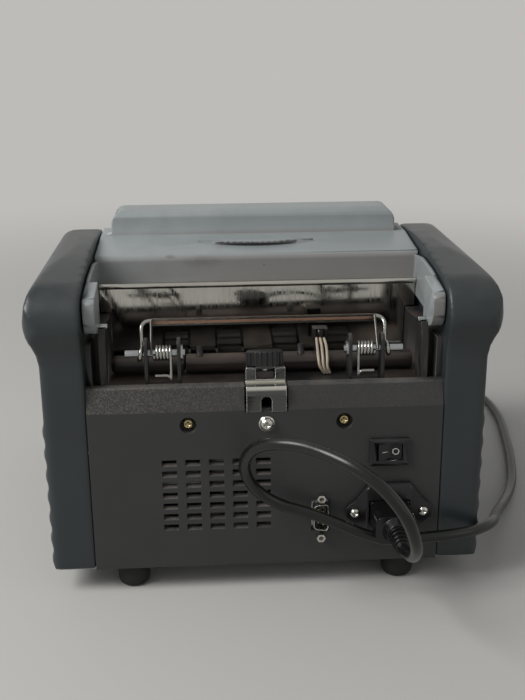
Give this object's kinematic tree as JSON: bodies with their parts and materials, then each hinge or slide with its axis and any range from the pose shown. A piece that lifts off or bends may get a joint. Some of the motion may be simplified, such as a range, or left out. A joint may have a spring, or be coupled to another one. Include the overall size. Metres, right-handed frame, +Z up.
{
  "type": "banknote counting machine",
  "caption": "Desktop banknote counter with a hinged cover, feed hopper and bail, feed drum, stacking wheels, control keys, rear switch, vents and a mains lead.",
  "frame": {"origin": "on the table, under the middle of the machine", "axes": "+Z up, +Y from the operator's side towards the rear panel, +X to the right as seen by the operator"},
  "size_m": [0.3458, 0.4685, 0.2035],
  "materials": {
    "dark_moulding": "satin",
    "light_moulding": "satin",
    "black_plastic": "matt",
    "gloss_black": "gloss",
    "grey_plastic": "satin",
    "steel": "satin",
    "plate_steel": "polished",
    "zinc_yellow": "passivated",
    "rubber": "matt",
    "roller_rubber": "matt",
    "board": "satin",
    "core_iron": "matt",
    "window": "gloss"
  },
  "bodies": {
    "base": {"base_plate": "steel", "left_frame": "steel", "right_frame": "steel", "tie_rods": "steel", "left_cover": "dark_moulding", "right_cover": "dark_moulding", "rear_panel": "dark_moulding", "panel_screws": "zinc_yellow", "hopper_bed": "grey_plastic", "stacker_tray": "dark_moulding", "front_bridge": "dark_moulding", "feet": "rubber", "spring_brackets": "black_plastic", "bail_shafts": "steel", "shaft_clips": "steel", "bail_springs": "steel", "gap_bracket": "steel", "centre_screw": "steel", "serial_port": "steel", "port_screws": "zinc_yellow", "power_inlet": "black_plastic", "inlet_screws": "steel", "switch_body": "black_plastic", "sensor_clip": "black_plastic", "sensor_leads": "grey_plastic", "shaft_bearings": "zinc_yellow", "drive_motor": "steel", "transformer": "core_iron", "main_board": "board", "note_guide": "black_plastic", "drive_belts": "rubber", "appliance_plug": "black_plastic", "cord_run": "black_plastic", "cord_coil": "black_plastic", "mains_plug": "black_plastic"},
    "cover": {"top_cover": "light_moulding", "note_plate": "plate_steel", "latch_pins": "steel", "hinge_pins": "steel", "display_window": "window"},
    "key_1": {"key_1": "grey_plastic"},
    "key_2": {"key_2": "grey_plastic"},
    "key_3": {"key_3": "grey_plastic"},
    "key_4": {"key_4": "grey_plastic"},
    "key_5": {"key_5": "grey_plastic"},
    "key_6": {"key_6": "grey_plastic"},
    "rocker": {"switch_rocker": "gloss_black"},
    "knob": {"gap_knob": "black_plastic", "gap_stud": "steel"},
    "carriage": {"gap_carriage": "black_plastic"},
    "bail": {"bail_wire": "steel", "bail_bar": "zinc_yellow", "spring_legs": "steel"},
    "drum": {"drum_shaft": "steel", "drum_rollers": "roller_rubber"},
    "pickup": {"pickup_shaft": "steel", "pickup_rollers": "roller_rubber"},
    "stacker": {"stacker_shaft": "steel", "stacking_wheels": "grey_plastic"},
    "motor": {"motor_pulley": "zinc_yellow"}
  },
  "joints": [
    {"name": "cover_lift", "type": "hinge", "parent": "base", "child": "cover", "pos_m": [0, -0.072, 0.156], "axis": [1, 0, 0], "range_deg": [0, 70]},
    {"name": "key_1_press", "type": "slide", "parent": "cover", "child": "key_1", "axis": [0, 0.7071, -0.7071], "range_m": [0, 0.0008], "stiffness_N_per_m": 600, "springref_m": -0.0004},
    {"name": "key_2_press", "type": "slide", "parent": "cover", "child": "key_2", "axis": [0, 0.7071, -0.7071], "range_m": [0, 0.0008], "stiffness_N_per_m": 600, "springref_m": -0.0004},
    {"name": "key_3_press", "type": "slide", "parent": "cover", "child": "key_3", "axis": [0, 0.7071, -0.7071], "range_m": [0, 0.0008], "stiffness_N_per_m": 600, "springref_m": -0.0004},
    {"name": "key_4_press", "type": "slide", "parent": "cover", "child": "key_4", "axis": [0, 0.7071, -0.7071], "range_m": [0, 0.0008], "stiffness_N_per_m": 600, "springref_m": -0.0004},
    {"name": "key_5_press", "type": "slide", "parent": "cover", "child": "key_5", "axis": [0, 0.7071, -0.7071], "range_m": [0, 0.0008], "stiffness_N_per_m": 600, "springref_m": -0.0004},
    {"name": "key_6_press", "type": "slide", "parent": "cover", "child": "key_6", "axis": [0, 0.7071, -0.7071], "range_m": [0, 0.0008], "stiffness_N_per_m": 600, "springref_m": -0.0004},
    {"name": "rocker_tip", "type": "hinge", "parent": "base", "child": "rocker", "pos_m": [-0.07035, 0.1168, 0.085], "axis": [0, 0, -1], "range_deg": [0, 16]},
    {"name": "gap_turn", "type": "hinge", "parent": "base", "child": "knob", "pos_m": [0, 0.1024, 0.134], "axis": [0, -0.2419, 0.9703], "range_deg": [-360, 360]},
    {"name": "gap_lift", "type": "slide", "parent": "base", "child": "carriage", "axis": [0, -0.2419, 0.9703], "range_m": [-0.0007, 0.0007]},
    {"name": "bail_swing", "type": "hinge", "parent": "base", "child": "bail", "pos_m": [0, 0.104, 0.143], "axis": [-1, 0, 0], "range_deg": [0, 60], "stiffness_Nm_per_rad": 0.02, "springref_deg": -20.05},
    {"name": "drum_spin", "type": "hinge", "parent": "base", "child": "drum", "pos_m": [0, 0.014, 0.092], "axis": [1, 0, 0], "continuous": true},
    {"name": "pickup_spin", "type": "hinge", "parent": "base", "child": "pickup", "pos_m": [0, 0.062, 0.107], "axis": [1, 0, 0], "continuous": true},
    {"name": "stacker_spin", "type": "hinge", "parent": "base", "child": "stacker", "pos_m": [0, -0.049, 0.074], "axis": [1, 0, 0], "continuous": true},
    {"name": "motor_spin", "type": "hinge", "parent": "base", "child": "motor", "pos_m": [0, 0.068, 0.05], "axis": [1, 0, 0], "continuous": true}
  ],
  "couplings": [
    {"joint": "pickup_spin", "follows": "drum_spin", "ratio": 1},
    {"joint": "stacker_spin", "follows": "drum_spin", "ratio": 0.66667},
    {"joint": "motor_spin", "follows": "drum_spin", "ratio": 2.5},
    {"joint": "gap_turn", "follows": "gap_lift", "rad_per_m": -8976}
  ]
}
